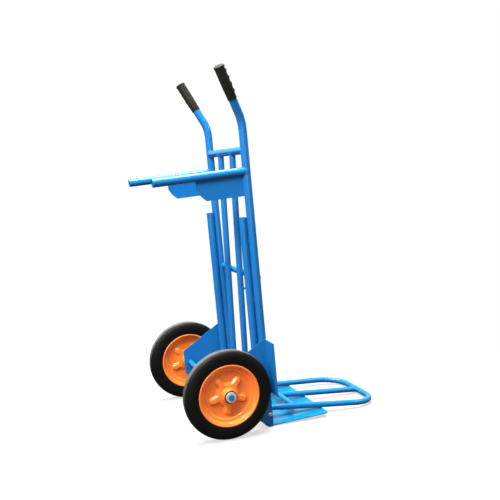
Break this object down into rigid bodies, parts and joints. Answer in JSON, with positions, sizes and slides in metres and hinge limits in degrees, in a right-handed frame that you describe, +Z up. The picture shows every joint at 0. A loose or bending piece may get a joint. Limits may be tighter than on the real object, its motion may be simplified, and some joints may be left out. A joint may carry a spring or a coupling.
{
  "type": "hand truck",
  "caption": "Tubular steel hand truck with solid-tyred wheels, bent handles, rear support arms, a toe plate and a fold-down toe extension.",
  "frame": {"origin": "on the floor, under the middle of the overall box", "axes": "+Z up; +X across the truck along the axle, to the left of a user standing behind it; +Y towards the user and the wheels, so the toe plate points to -Y; the truck leans back 3.74 degrees as it stands"},
  "size_m": [0.58, 0.831, 1.2141],
  "materials": {
    "blue_enamel": "gloss",
    "orange_enamel": "gloss",
    "tyre_rubber": "satin",
    "grip_rubber": "matte",
    "zinc_steel": "satin",
    "bearing_steel": "satin",
    "dark_steel": "satin"
  },
  "bodies": {
    "frame": {"left_upright": "blue_enamel", "left_brace_tube": "blue_enamel", "left_inner_bar": "blue_enamel", "left_support_arm": "blue_enamel", "left_arm_gusset": "blue_enamel", "left_side_plate": "blue_enamel", "left_grip": "grip_rubber", "left_axle_spacer": "zinc_steel", "left_axle_collar": "zinc_steel", "left_collar_pin": "zinc_steel", "right_upright": "blue_enamel", "right_brace_tube": "blue_enamel", "right_inner_bar": "blue_enamel", "right_support_arm": "blue_enamel", "right_arm_gusset": "blue_enamel", "right_side_plate": "blue_enamel", "right_grip": "grip_rubber", "right_axle_spacer": "zinc_steel", "right_axle_collar": "zinc_steel", "right_collar_pin": "zinc_steel", "top_crossbar": "blue_enamel", "middle_crossbar": "blue_enamel", "bottom_crossbar": "blue_enamel", "toe_plate": "blue_enamel", "axle": "blue_enamel", "tie_peg": "dark_steel", "hinge_pin": "zinc_steel"},
    "left_wheel": {"left_tyre": "tyre_rubber", "left_rim_outer": "orange_enamel", "left_rim_inner": "orange_enamel", "left_hub": "orange_enamel", "left_bearing_outer": "bearing_steel", "left_bearing_inner": "bearing_steel"},
    "right_wheel": {"right_tyre": "tyre_rubber", "right_rim_outer": "orange_enamel", "right_rim_inner": "orange_enamel", "right_hub": "orange_enamel", "right_bearing_outer": "bearing_steel", "right_bearing_inner": "bearing_steel"},
    "toe_extension": {"hinge_barrel": "blue_enamel", "u_tube": "blue_enamel", "extension_cross_tube": "blue_enamel", "middle_leg": "blue_enamel"}
  },
  "joints": [
    {"name": "left_wheel_spin", "type": "hinge", "parent": "frame", "child": "left_wheel", "pos_m": [0.248, 0.2083, 0.15], "axis": [1, 0, 0], "continuous": true},
    {"name": "right_wheel_spin", "type": "hinge", "parent": "frame", "child": "right_wheel", "pos_m": [-0.248, 0.2083, 0.15], "axis": [1, 0, 0], "continuous": true},
    {"name": "toe_extension_fold", "type": "hinge", "parent": "frame", "child": "toe_extension", "pos_m": [0, 0.04307, 0.04456], "axis": [-1, 0, 0], "range_deg": [0, 96]}
  ]
}
